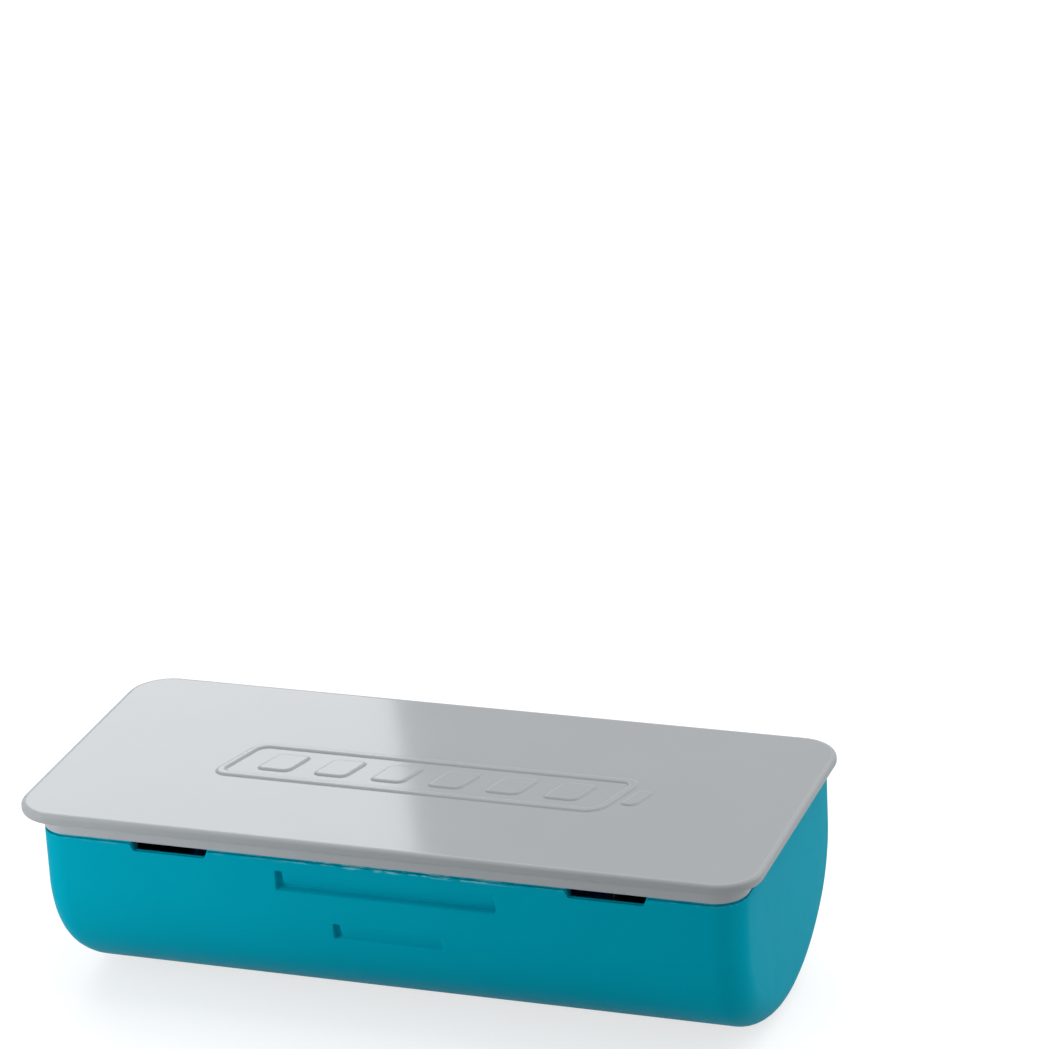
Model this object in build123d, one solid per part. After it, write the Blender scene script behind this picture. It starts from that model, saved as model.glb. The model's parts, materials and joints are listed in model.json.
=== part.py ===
"""Battery pack of a floor-mopping robot: a trough-shaped tray, a clipped lid, and two cells with their
protection board inside. Millimetres. X runs along the pack, Y across it and Z up, from the middle of
the lid's outline, on the surface that the pack stands on. The detented long side faces -Y.
"""
from build123d import *
from math import sqrt
import os

os.makedirs("parts", exist_ok=True)

# Cells: the casing is built around them
CELL_DIAMETER = 18.4
CELL_LENGTH = 65.0
CELL_GAP = 0.6
CAP_DIAMETER = 8.4
CAP_RISE = 1.5
CAN_BEVEL = 0.8
RING_THICKNESS = 0.25
RING_MARGIN = 0.5

# Tray
WALL = 1.8
SIDE_ROOM = 3.75
END_ROOM = 17.9
FLOOR_ROOM = 4.5
SPRING_RISE = 3.7
BOTTOM_CENTRE_RISE = 8.75
FOOT_CUT = 0.35
RIM_RISE = 2.65
END_ROUND = 4.5
INNER_BEVEL = 1.6
RIM_BEVEL = 0.3

# Ribs moulded in the tray, which carry the cells
RIB_THICKNESS = 1.6
RIB_PITCH = 44.0
RIB_DROP = 3.0
CELL_FIT = 0.15
STOP_FIT = 0.3
LEAD_PASSAGE = 8.4

# Detents in the front of the tray and pry slots in its rim
DETENT_OFFSET = 0.75
DETENT_LENGTH = 32.7
DETENT_HEIGHT = 3.2
DETENT_DEPTH = 1.0
DETENT_DROP = 2.0
DETENT_STEP = 0.6
CATCH_LENGTH = 16.4
CATCH_HEIGHT = 2.7
CATCH_DEPTH = 0.9
CATCH_DROP = 9.4
SLOT_PITCH = 64.7
SLOT_LENGTH = 12.0
SLOT_HEIGHT = 1.1
SLOT_SLOPE = 0.7

# Lid
LIP_LEFT = 3.8
LIP_RIGHT = 1.8
LIP_SIDE = 0.55
LID_PLATE = 1.5
LID_CORNER = 6.2
LID_EDGE_ROUND = 0.6
LID_UNDER_BEVEL = 0.3
BAND_HEIGHT = 1.55
LIP_CLEARANCE = 0.15
LIP_WALL = 1.2
LIP_DEPTH = 2.4
LIP_CORNER = 0.5
LID_RIB_DEPTH = 1.4

# Snap hooks of the lid
HOOK_LENGTH = 8.0
HOOK_REACH = 3.0
HOOK_BARB = 0.7
HOOK_BACK = 0.35
HOOK_CLEARANCE = 0.2

# Nickel strips
STRIP_THICKNESS = 0.2
STRIP_WIDTH = 8.0
STRIP_FOLD = 3.0
RISER_WIDTH = 4.0

# Protection board and what is on it
SHEET_THICKNESS = 0.25
BOARD_THICKNESS = 1.0
BOARD_WIDTH = 20.0
BOARD_INSET = 1.0
TRANSISTOR_SIZE = (5.0, 6.0, 1.1)
TRANSISTOR_PITCH = 7.0
CHIP_SIZE = (5.0, 4.4, 1.0)
RESISTOR_SIZE = (2.0, 1.2, 0.5)
CAPACITOR_SIZE = (1.6, 0.9, 0.8)
PASSIVE_PITCH = 3.0
PART_GAP = 1.2
FUSE_SIZE = (4.6, 3.2, 0.9)
FOAM_LENGTH = 10.0
FOAM_WIDTH = 16.0
FOAM_INSET = 4.5

# Thermistor between the cells
BEAD_DIAMETER = 2.4
BEAD_LENGTH = 3.2
BEAD_FIT = 0.05
BEAD_LEAD_DIAMETER = 0.5
BEAD_LEAD_PITCH = 1.4
BEAD_LEAD_CLEARANCE = 0.2

# Contacts in the underside
CONTACT_OFFSET = 7.8
WINDOW_LENGTH = 14.0
WINDOW_WIDTH = 5.6
FLANGE_MARGIN = 1.4
FLANGE_THICKNESS = 1.0
NOSE_DEPTH = 1.4
NOSE_CLEARANCE = 0.15
SEAT_LAND = 0.1
CONTACT_WIDTH = 2.2
CONTACT_LENGTH = 4.4
CONTACT_THICKNESS = 0.4
CONTACT_CLEARANCE = 0.05
CONTACT_INSET = 2.0
SENSE_PITCH = 3.0

# Leads from the board to the contacts
LEAD_DIAMETER = 1.2
LEAD_PITCH = 2.2
LEAD_BEND = 2.5
LEAD_STAND_OFF = 4.5
LEAD_LANDING = 3.0
LEAD_TAIL = 1.0

# Places that follow from the sizes above
cell_radius = CELL_DIAMETER / 2
cell_y = CELL_GAP / 2 + cell_radius
cell_z = WALL + FLOOR_ROOM + cell_radius
cell_top = cell_z + cell_radius
inner_half = CELL_GAP / 2 + CELL_DIAMETER + SIDE_ROOM
outer_half = inner_half + WALL
spring_z = cell_z + SPRING_RISE
rim_z = cell_top + RIM_RISE
tray_length = CELL_LENGTH + 2 * END_ROOM + 2 * WALL
lid_length = tray_length + LIP_LEFT + LIP_RIGHT
lid_width = 2 * (outer_half + LIP_SIDE)
tray_x = (LIP_LEFT - LIP_RIGHT) / 2
detent_x = tray_x + DETENT_OFFSET
band_top = rim_z + BAND_HEIGHT
lid_top = band_top + LID_PLATE
cell_left = tray_x - CELL_LENGTH / 2
cell_right = tray_x + CELL_LENGTH / 2
sheet_top = cell_top + SHEET_THICKNESS
board_top = sheet_top + BOARD_THICKNESS
board_length = CELL_LENGTH - 2 * BOARD_INSET

# The trough's round is an arch on three centres, one for each side and one for the bottom.
# It would reach below the foot by the foot's cut.
outer_depth = spring_z + FOOT_CUT
bottom_centre = spring_z + BOTTOM_CENTRE_RISE
bottom_round = outer_depth + BOTTOM_CENTRE_RISE
side_reach = bottom_round ** 2 - BOTTOM_CENTRE_RISE ** 2 - outer_half ** 2
side_round = side_reach / (2 * (bottom_round - outer_half))
side_centre = outer_half - side_round


def inner_floor(y):
    """Height of the trough's inner floor at a distance y from the middle."""
    return bottom_centre - sqrt((bottom_round - WALL) ** 2 - y ** 2)


def outer_side(z):
    """Distance of the trough's outer side from the middle at height z."""
    below = max(spring_z - z, 0)
    return side_centre + sqrt(side_round ** 2 - below ** 2)


def trough(inset, top):
    """Solid inside the tray's outer surface by an inset: upright sides on the arch, between square ends."""
    length = tray_length - 2 * inset
    half_width = outer_half - inset
    lowest = spring_z - outer_depth + inset
    turn = bottom_centre - spring_z
    reach = (bottom_round - inset) / sqrt(side_centre ** 2 + turn ** 2)
    joint_y = side_centre * reach
    joint_z = bottom_centre - turn * reach
    with BuildPart() as body:
        with BuildSketch(Plane.YZ.offset(tray_x - length / 2)):
            with BuildLine():
                Line((-half_width, top), (-half_width, spring_z))
                RadiusArc((-half_width, spring_z), (-joint_y, joint_z), inset - side_round)
                ThreePointArc((-joint_y, joint_z), (0, lowest), (joint_y, joint_z))
                RadiusArc((joint_y, joint_z), (half_width, spring_z), inset - side_round)
                Line((half_width, spring_z), (half_width, top))
                Line((half_width, top), (-half_width, top))
            make_face()
        extrude(amount=length)
    return body.part


def end_outlines(body, top):
    """Edges round the two ends of a trough, without those at its top."""
    edges = body.faces().filter_by(Axis.X).edges()
    return edges.filter_by(lambda edge: edge.center().Z < top - RIM_BEVEL)


def slab(outline, bottom, top):
    """Upright prism of a plan outline centred on the tray, between two heights."""
    return extrude(Pos(tray_x, 0, bottom) * outline, top - bottom)


def rim_outline(inset):
    """Plan of the tray's rim, taken in by an inset, with its corners."""
    corner = max(END_ROUND - inset, LIP_CORNER)
    return RectangleRounded(tray_length - 2 * inset, 2 * (outer_half - inset), corner)


def frame_ring(outer_inset, inner_inset, bottom, top):
    """Ring between two plans of the rim, between two heights."""
    return slab(rim_outline(outer_inset), bottom, top) - slab(rim_outline(inner_inset), bottom, top)


def x_cylinder(radius, y, z, start, end):
    """Cylinder along X from one station to another."""
    return extrude(Plane.YZ.offset(start) * Pos(y, z) * Circle(radius), end - start)


def block(size, x, y, bottom):
    """Box of a size in X, Y and Z, centred at x and y and standing on a height."""
    return Pos(x, y, bottom) * Box(*size, align=(Align.CENTER, Align.CENTER, Align.MIN))


def side_wedge(points, middle, length):
    """Prism along X of a profile given in Y and Z."""
    profile = Plane.YZ.offset(middle - length / 2) * make_face(Polyline(*points, close=True))
    return extrude(profile, length)


def detent(drop, height, depth, length):
    """Cut in the front: its face curves in from the side, downwards, and steps back out at its lower edge."""
    top = rim_z - drop
    low = top - height
    root = low + DETENT_STEP
    outside = -outer_half - depth
    start = (-outer_side(top), top)
    deepest = (depth - outer_side(root), root)
    lean = max(spring_z - top, 0) / (outer_side(top) - side_centre)
    face = TangentArc(start, deepest, tangent=(lean, -1))
    rest = Polyline(deepest, (-outer_side(low), low), (outside, low), (outside, top), start)
    profile = make_face([face, *rest.edges()])
    return extrude(Plane.YZ.offset(detent_x - length / 2) * profile, length)


# Tray
cavity = trough(WALL, lid_top)
cavity = chamfer(end_outlines(cavity, lid_top), INNER_BEVEL)
shell = trough(0, rim_z)
shell = fillet(end_outlines(shell, rim_z), END_ROUND)
shell = chamfer(shell.faces().sort_by(Axis.Z)[-1].edges(), RIM_BEVEL)
shell -= block((tray_length, 2 * outer_half, outer_depth), tray_x, 0, -outer_depth)

flange_length = WINDOW_LENGTH + 2 * FLANGE_MARGIN
flange_width = WINDOW_WIDTH + 2 * FLANGE_MARGIN
seat_z = inner_floor(CONTACT_OFFSET + flange_width / 2) + SEAT_LAND
nose_z = seat_z - NOSE_DEPTH

rib_top = cell_z - RIB_DROP
stop_start = CELL_LENGTH / 2 + STRIP_THICKNESS + STOP_FIT
rib_span = (RIB_THICKNESS, 2 * inner_half, rib_top)
cradles = [block(rib_span, tray_x + side * RIB_PITCH / 2, 0, 0) for side in (-1, 1)]
stops = [block(rib_span, tray_x + side * (stop_start + RIB_THICKNESS / 2), 0, 0) for side in (-1, 1)]
bores = [
    x_cylinder(cell_radius + CELL_FIT, side * cell_y, cell_z, tray_x - stop_start, tray_x + stop_start)
    for side in (-1, 1)
]
passage = block((tray_length, LEAD_PASSAGE, lid_top), tray_x, 0, 0)
boss = block((flange_length, flange_width, seat_z), tray_x, CONTACT_OFFSET, 0)
inside = (Part() + cradles + stops - bores - passage + boss) & cavity

slot_outline = Polyline(
    (-SLOT_LENGTH / 2, 0), (SLOT_LENGTH / 2, 0),
    (SLOT_LENGTH / 2 - SLOT_SLOPE, -SLOT_HEIGHT), (SLOT_SLOPE - SLOT_LENGTH / 2, -SLOT_HEIGHT),
    close=True,
)
slot_tool = extrude(Plane.XZ * make_face(slot_outline), outer_half + WALL, both=True)
slots = [Pos(detent_x + side * SLOT_PITCH / 2, 0, rim_z) * slot_tool for side in (-1, 1)]

# Each hook stands midway between the end of the long detent and the pry slot beside it
hook_offset = (DETENT_LENGTH + SLOT_PITCH - SLOT_LENGTH) / 4
hook_bottom = rim_z - LIP_DEPTH - HOOK_REACH
pocket_length = HOOK_LENGTH + 2 * HOOK_CLEARANCE
pocket_height = HOOK_BARB + HOOK_BACK + 2 * HOOK_CLEARANCE
pocket_size = (pocket_length, 2 * (inner_half + HOOK_BARB), pocket_height)
pockets = [
    block(pocket_size, detent_x + side * hook_offset, 0, hook_bottom - HOOK_CLEARANCE) for side in (-1, 1)
]

window = block((WINDOW_LENGTH, WINDOW_WIDTH, seat_z), tray_x, CONTACT_OFFSET, 0)
tray = shell - cavity + inside
tray -= window
tray -= slots
tray -= pockets
tray -= detent(DETENT_DROP, DETENT_HEIGHT, DETENT_DEPTH, DETENT_LENGTH)
tray -= detent(CATCH_DROP, CATCH_HEIGHT, CATCH_DEPTH, CATCH_LENGTH)

# Lid: plate, band on the tray's rim, lip inside the rim with gaps at the pry slots, ribs and hooks
plate = extrude(Pos(0, 0, band_top) * RectangleRounded(lid_length, lid_width, LID_CORNER), LID_PLATE)
plate = fillet(plate.faces().sort_by(Axis.Z)[-1].edges(), LID_EDGE_ROUND)
plate = chamfer(plate.faces().sort_by(Axis.Z)[0].edges(), LID_UNDER_BEVEL)
lip_outer = WALL + LIP_CLEARANCE
lip_inner = lip_outer + LIP_WALL
band = frame_ring(0, lip_inner, rim_z, band_top)
lip = frame_ring(lip_outer, lip_inner, rim_z - LIP_DEPTH, rim_z)
slot_gap = (SLOT_LENGTH, 2 * outer_half, LIP_DEPTH)
lip -= [block(slot_gap, detent_x + side * SLOT_PITCH / 2, 0, rim_z - LIP_DEPTH) for side in (-1, 1)]
rib_size = (LIP_WALL, 2 * (outer_half - lip_inner), LID_RIB_DEPTH)
lid_ribs = [block(rib_size, tray_x + side * SLOT_PITCH / 2, 0, band_top - LID_RIB_DEPTH) for side in (-1, 1)]

hook_face = outer_half - lip_outer
hook_points = [
    (hook_face - LIP_WALL, rim_z - LIP_DEPTH), (hook_face - LIP_WALL, hook_bottom), (hook_face, hook_bottom),
    (hook_face + HOOK_BARB, hook_bottom + HOOK_BARB), (hook_face, hook_bottom + HOOK_BARB + HOOK_BACK),
    (hook_face, rim_z - LIP_DEPTH),
]
hooks = []
for side in (-1, 1):
    hook = side_wedge(hook_points, detent_x + side * hook_offset, HOOK_LENGTH)
    hooks += [hook, mirror(hook, Plane.XZ)]
lid = plate + band + lip + lid_ribs + hooks

# Cells: the front cell's positive end is on the right and the rear cell's is on the left
def cell_can(y, start, end):
    """Steel can of a cell with bevelled ends."""
    can = x_cylinder(cell_radius, y, cell_z, start, end)
    return chamfer(can.edges().filter_by(GeomType.CIRCLE), CAN_BEVEL)


front_shoulder = cell_right - CAP_RISE
rear_shoulder = cell_left + CAP_RISE
cell_front = cell_can(-cell_y, cell_left, front_shoulder)
cell_rear = cell_can(cell_y, rear_shoulder, cell_right)
cap_radius = CAP_DIAMETER / 2
cell_caps = Compound([
    x_cylinder(cap_radius, -cell_y, cell_z, front_shoulder, cell_right),
    x_cylinder(cap_radius, cell_y, cell_z, cell_left, rear_shoulder),
])


def insulator_ring(y, start):
    """Paper ring round a positive cap, on the can's shoulder."""
    outer = x_cylinder(cell_radius - CAN_BEVEL, y, cell_z, start, start + RING_THICKNESS)
    return outer - x_cylinder(cap_radius + RING_MARGIN, y, cell_z, start, start + RING_THICKNESS)


insulator_rings = Compound([
    insulator_ring(-cell_y, front_shoulder),
    insulator_ring(cell_y, rear_shoulder - RING_THICKNESS),
])


def strip(end, outwards, y, width):
    """Nickel strip on the end of a cell, with a riser that folds over onto the board."""
    centre = end + outwards * STRIP_THICKNESS / 2
    landing = end + outwards * STRIP_THICKNESS - outwards * (BOARD_INSET + STRIP_THICKNESS + STRIP_FOLD) / 2
    fold_length = BOARD_INSET + STRIP_THICKNESS + STRIP_FOLD
    pad = block((STRIP_THICKNESS, width, STRIP_WIDTH), centre, y, cell_z - STRIP_WIDTH / 2)
    riser = block((STRIP_THICKNESS, RISER_WIDTH, board_top + STRIP_THICKNESS - cell_z), centre, y, cell_z)
    fold = block((fold_length, RISER_WIDTH, STRIP_THICKNESS), landing, y, board_top)
    return pad + riser + fold


series_link = strip(cell_left, -1, 0, 2 * cell_y + STRIP_WIDTH)
positive_tab = strip(cell_right, 1, -cell_y + BOARD_INSET + RISER_WIDTH / 2, STRIP_WIDTH)
negative_tab = strip(cell_right, 1, cell_y - BOARD_INSET - RISER_WIDTH / 2, STRIP_WIDTH)

# Thermistor, laid in the valley on top of the two cells
bead_radius = BEAD_DIAMETER / 2
bead_z = cell_z + sqrt((cell_radius + bead_radius + BEAD_FIT) ** 2 - cell_y ** 2)
thermistor = x_cylinder(bead_radius, 0, bead_z, tray_x - BEAD_LENGTH / 2, tray_x + BEAD_LENGTH / 2)
bead_stations = [tray_x + side * BEAD_LEAD_PITCH / 2 for side in (-1, 1)]


def bead_wire(x, diameter, bottom):
    """Upright wire at a station, up to the board's underside."""
    return extrude(Pos(x, 0, bottom) * Circle(diameter / 2), sheet_top - bottom)


thermistor_leads = Compound([
    bead_wire(x, BEAD_LEAD_DIAMETER, bead_z) - thermistor for x in bead_stations
])

# Insulating sheet and board
insulating_sheet = block((board_length, BOARD_WIDTH, SHEET_THICKNESS), tray_x, 0, cell_top)
insulating_sheet -= [
    bead_wire(x, BEAD_LEAD_DIAMETER + 2 * BEAD_LEAD_CLEARANCE, bead_z) for x in bead_stations
]
protection_board = block((board_length, BOARD_WIDTH, BOARD_THICKNESS), tray_x, 0, sheet_top)

# Parts on the board, in a row along its middle
row_length = RESISTOR_SIZE[0] + CHIP_SIZE[0] + TRANSISTOR_SIZE[0] + FUSE_SIZE[0] + 3 * PART_GAP
resistor_x = tray_x + (RESISTOR_SIZE[0] - row_length) / 2
chip_x = resistor_x + (RESISTOR_SIZE[0] + CHIP_SIZE[0]) / 2 + PART_GAP
transistor_x = chip_x + (CHIP_SIZE[0] + TRANSISTOR_SIZE[0]) / 2 + PART_GAP
fuse_x = transistor_x + (TRANSISTOR_SIZE[0] + FUSE_SIZE[0]) / 2 + PART_GAP
power_transistors = Compound([
    block(TRANSISTOR_SIZE, transistor_x, side * TRANSISTOR_PITCH / 2, board_top) for side in (-1, 1)
])
protection_chip = block(CHIP_SIZE, chip_x, 0, board_top)
fuse = block(FUSE_SIZE, fuse_x, 0, board_top)
resistors = Compound([
    block(RESISTOR_SIZE, resistor_x, row * PASSIVE_PITCH, board_top) for row in (-1, 0, 1)
])
capacitor_y = (CHIP_SIZE[1] + PASSIVE_PITCH) / 2
capacitors = Compound([block(CAPACITOR_SIZE, chip_x, side * capacitor_y, board_top) for side in (-1, 1)])
foam_size = (FOAM_LENGTH, FOAM_WIDTH, band_top - board_top)
foam_offset = (board_length - FOAM_LENGTH) / 2 - FOAM_INSET
foam_pads = Compound([block(foam_size, tray_x + side * foam_offset, 0, board_top) for side in (-1, 1)])

# Contact block: its flange stands on the tray's boss and its nose fills the window
contact_block = block((flange_length, flange_width, FLANGE_THICKNESS), tray_x, CONTACT_OFFSET, seat_z)
contact_block += block(
    (WINDOW_LENGTH - 2 * NOSE_CLEARANCE, WINDOW_WIDTH - 2 * NOSE_CLEARANCE, NOSE_DEPTH),
    tray_x, CONTACT_OFFSET, nose_z,
)
flange_top = seat_z + FLANGE_THICKNESS
riser_y = CONTACT_OFFSET - CONTACT_LENGTH / 2 + CONTACT_THICKNESS / 2
tail_z = flange_top + CONTACT_THICKNESS
contact_reach = WINDOW_LENGTH / 2 - CONTACT_INSET
contact_stations = {
    "positive": tray_x - contact_reach,
    "sense": tray_x - contact_reach + SENSE_PITCH,
    "negative": tray_x + contact_reach,
}
lead_rows = {"negative": LEAD_PITCH, "sense": 0.0, "positive": -LEAD_PITCH}
lead_z = tail_z + LEAD_DIAMETER / 2


def contact(x, row):
    """Contact strip: a pad under the nose, a riser through the block and a tail to the lead's row."""
    pad_size = (CONTACT_WIDTH, CONTACT_LENGTH, CONTACT_THICKNESS)
    pad = block(pad_size, x, CONTACT_OFFSET, nose_z - CONTACT_THICKNESS)
    riser = block((CONTACT_WIDTH, CONTACT_THICKNESS, tail_z - nose_z), x, riser_y, nose_z)
    tail_end = row - LEAD_DIAMETER / 2
    tail_start = riser_y + CONTACT_THICKNESS / 2
    tail_size = (CONTACT_WIDTH, tail_start - tail_end, CONTACT_THICKNESS)
    tail = block(tail_size, x, (tail_start + tail_end) / 2, flange_top)
    return pad + riser + tail


slit_length = CONTACT_WIDTH + 2 * CONTACT_CLEARANCE
slit_size = (slit_length, CONTACT_THICKNESS + 2 * CONTACT_CLEARANCE, tail_z - nose_z)
contact_block -= [block(slit_size, x, riser_y, nose_z) for x in contact_stations.values()]
contacts = {name: contact(x, lead_rows[name]) for name, x in contact_stations.items()}


def lead(name):
    """Insulated wire: along the board's top, down past the cells' right end and under them to a tail."""
    row = lead_rows[name]
    landing = tray_x + board_length / 2 - LEAD_LANDING
    drop = cell_right + LEAD_STAND_OFF
    end = contact_stations[name] - LEAD_TAIL
    high = board_top + LEAD_DIAMETER / 2
    route = FilletPolyline(
        (landing, row, high), (drop, row, high), (drop, row, lead_z), (end, row, lead_z), radius=LEAD_BEND
    )
    return sweep(Plane(origin=route @ 0, z_dir=route % 0) * Circle(LEAD_DIAMETER / 2), path=route)


nodes = {
    "tray": tray,
    "lid": lid,
    "cell_front": cell_front,
    "cell_rear": cell_rear,
    "cell_caps": cell_caps,
    "insulator_rings": insulator_rings,
    "series_link": series_link,
    "positive_tab": positive_tab,
    "negative_tab": negative_tab,
    "insulating_sheet": insulating_sheet,
    "protection_board": protection_board,
    "power_transistors": power_transistors,
    "protection_chip": protection_chip,
    "resistors": resistors,
    "capacitors": capacitors,
    "fuse": fuse,
    "foam_pads": foam_pads,
    "thermistor": thermistor,
    "thermistor_leads": thermistor_leads,
    "contact_block": contact_block,
    "contact_positive": contacts["positive"],
    "contact_sense": contacts["sense"],
    "contact_negative": contacts["negative"],
    "positive_lead": lead("positive"),
    "sense_lead": lead("sense"),
    "negative_lead": lead("negative"),
}
for name, shape in nodes.items():
    export_step(shape, f"parts/{name}.step")
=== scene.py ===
# %% [markdown]
# This lesson dresses the rechargeable pack of a floor-mopping robot. The pack is two mouldings: a teal
# trough with a half-round underside, and a grey lid that reaches past it on all sides. The cells, the
# protection board and the contacts inside are already right as solids. So the two casings are remade
# here as fine surfaces with the small rounds that catch the light, and every other piece gets a finish.

# %% Load the frame
import json
from math import atan2, cos, pi, radians, sin, sqrt

import bmesh
import bpy
import numpy as np
from mathutils import Matrix, Vector


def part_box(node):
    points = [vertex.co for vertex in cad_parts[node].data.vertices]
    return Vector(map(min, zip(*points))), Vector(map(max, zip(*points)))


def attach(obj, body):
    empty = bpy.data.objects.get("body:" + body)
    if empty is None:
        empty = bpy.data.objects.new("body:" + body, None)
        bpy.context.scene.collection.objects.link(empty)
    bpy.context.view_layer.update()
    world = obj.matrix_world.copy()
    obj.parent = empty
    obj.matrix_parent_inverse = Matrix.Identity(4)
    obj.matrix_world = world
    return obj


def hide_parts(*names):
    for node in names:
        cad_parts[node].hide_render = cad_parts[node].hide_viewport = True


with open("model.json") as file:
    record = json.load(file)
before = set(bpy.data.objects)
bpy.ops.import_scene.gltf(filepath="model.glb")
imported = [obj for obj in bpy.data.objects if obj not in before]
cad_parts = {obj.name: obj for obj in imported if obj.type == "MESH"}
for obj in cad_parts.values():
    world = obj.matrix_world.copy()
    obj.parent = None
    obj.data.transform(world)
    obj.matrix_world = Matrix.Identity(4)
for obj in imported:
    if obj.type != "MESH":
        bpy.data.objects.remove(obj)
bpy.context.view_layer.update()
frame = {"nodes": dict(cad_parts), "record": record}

MM = 0.001

# %% [markdown]
# The camera comes first, because every later choice is judged through it. It stands to the right of the
# pack and looks down on it, a little rolled, with a long lens. Its place was found by fitting the lid's
# straight edges and the trough's outline, so the lens is written as the focal length in pixels of an
# image of known width.

# %% Camera
IMAGE_WIDTH = 1061
FOCAL_PIXELS = 4450.53
SENSOR_WIDTH = 36.0
CAMERA_PLACE = (211.52, -539.12, 297.85)
AZIMUTH, ELEVATION, ROLL = radians(19.81), radians(21.64), radians(2.94)

level_right = Vector((cos(AZIMUTH), sin(AZIMUTH), 0))
level_up = Vector((-sin(AZIMUTH) * sin(ELEVATION), cos(AZIMUTH) * sin(ELEVATION), cos(ELEVATION)))
backwards = Vector((sin(AZIMUTH) * cos(ELEVATION), -cos(AZIMUTH) * cos(ELEVATION), sin(ELEVATION)))
camera_right = cos(ROLL) * level_right - sin(ROLL) * level_up
camera_up = sin(ROLL) * level_right + cos(ROLL) * level_up

lens = bpy.data.cameras.new("camera")
lens.sensor_fit = "HORIZONTAL"
lens.sensor_width = SENSOR_WIDTH
lens.lens = SENSOR_WIDTH * FOCAL_PIXELS / IMAGE_WIDTH
lens.clip_start = 0.01
camera = bpy.data.objects.new("camera", lens)
bpy.context.collection.objects.link(camera)
axes = Matrix((camera_right, camera_up, backwards)).transposed().to_4x4()
camera.matrix_world = Matrix.Translation(Vector(CAMERA_PLACE) * MM) @ axes
bpy.context.scene.camera = camera
bpy.context.scene.view_settings.view_transform = "Standard"
print("lens:", round(lens.lens, 2), "mm")

# %% [markdown]
# Shader trees read best as arithmetic. One small class wraps a socket: plus, minus, times and divide on
# it add Math nodes, and its one method for other nodes takes a node's type, its settings and what goes
# into its sockets. A number that is the same all over a surface is set on the socket itself.

# %% Shader arithmetic
class Wire:
    """An output socket in a node tree, or the bare tree when there is no socket yet."""

    def __init__(self, tree, socket=None):
        self.tree = tree
        self.socket = socket

    def make(self, kind, settings=None, sockets=None, output=0):
        """Add a node: settings first, then values or wires for its sockets. Returns one of its outputs."""
        node = self.tree.nodes.new(kind)
        for key, value in (settings or {}).items():
            setattr(node, key, value)
        for key, value in (sockets or {}).items():
            if isinstance(value, Wire):
                self.tree.links.new(value.socket, node.inputs[key])
            else:
                node.inputs[key].default_value = value
        return Wire(self.tree, node.outputs[output] if len(node.outputs) else None)

    def math(self, operation, first, second):
        """Math node on two values, each a wire or a number."""
        return self.make("ShaderNodeMath", {"operation": operation}, {0: first, 1: second})

    def __add__(self, other):
        return self.math("ADD", self, other)

    def __sub__(self, other):
        return self.math("SUBTRACT", self, other)

    def __rsub__(self, other):
        return self.math("SUBTRACT", other, self)

    def __mul__(self, other):
        return self.math("MULTIPLY", self, other)

    def __truediv__(self, other):
        return self.math("DIVIDE", self, other)

    __radd__ = __add__
    __rmul__ = __mul__

    def between(self, low, high):
        """0 below the low value, 1 above the high one, and a smooth step in between."""
        return self.make(
            "ShaderNodeMapRange", {"interpolation_type": "SMOOTHSTEP"},
            {"Value": self, "From Min": low, "From Max": high, "To Min": 0.0, "To Max": 1.0},
        )

    def blend(self, first, second):
        """Colour mix with this wire as its factor."""
        mix = {"data_type": "RGBA", "clamp_factor": True}
        return self.make("ShaderNodeMix", mix, {0: self, 6: first, 7: second}, 2)


print("a wire can:", ", ".join(name for name in vars(Wire) if not name.startswith("_")))

# %% [markdown]
# Every finish starts from the same few things: an empty material, the point on the piece, noises of a
# size in millimetres, two tints of one colour, and a bump. They could be written out each time, but with
# a short function for each, a finish shows only the numbers that make it differ from the next.

# %% Helpers for finishes
def new_finish(name):
    """Empty material with its tree, and the wire that starts it."""
    material = bpy.data.materials.new(name)
    material.use_nodes = True
    material.node_tree.nodes.clear()
    return material, Wire(material.node_tree)


def close_finish(start, surface):
    """Send a shader to the material's output."""
    start.make("ShaderNodeOutputMaterial", None, {"Surface": surface})


def finished(material, start, sockets):
    """Close a material with one Principled shader, and return it."""
    close_finish(start, start.make("ShaderNodeBsdfPrincipled", None, sockets))
    return material


def piece_point(start):
    """Point on the piece, in metres."""
    return start.make("ShaderNodeTexCoord", output="Object")


def part_of(vector, axis):
    """The X, Y or Z part of a vector."""
    return vector.make("ShaderNodeSeparateXYZ", None, {"Vector": vector}, axis)


def drawn_out(point, scale):
    """Point scaled on each axis: a pattern on it is drawn out where the scale is small."""
    return point.make("ShaderNodeMapping", None, {"Vector": point, "Scale": scale})


def noise(point, size_mm, detail=2.0):
    """Noise from 0 to 1 with features of a size in millimetres."""
    return point.make(
        "ShaderNodeTexNoise", None, {"Vector": point, "Scale": 1.0 / (size_mm * MM), "Detail": detail},
    )


def relief(start, height):
    """Bump of a height in metres."""
    return start.make("ShaderNodeBump", None, {"Strength": 1.0, "Distance": 1.0, "Height": height})


def opaque(colour):
    """Colour with full alpha."""
    return (*colour, 1.0)


def two_tints(share, colour, factors):
    """Blend from one tint of a colour to another, each made by a factor, with no channel over 1."""
    tints = [opaque(tuple(min(channel * factor, 1.0) for channel in colour)) for factor in factors]
    return share.blend(*tints)


print("white, opaque:", opaque((1.0, 1.0, 1.0)))
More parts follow.
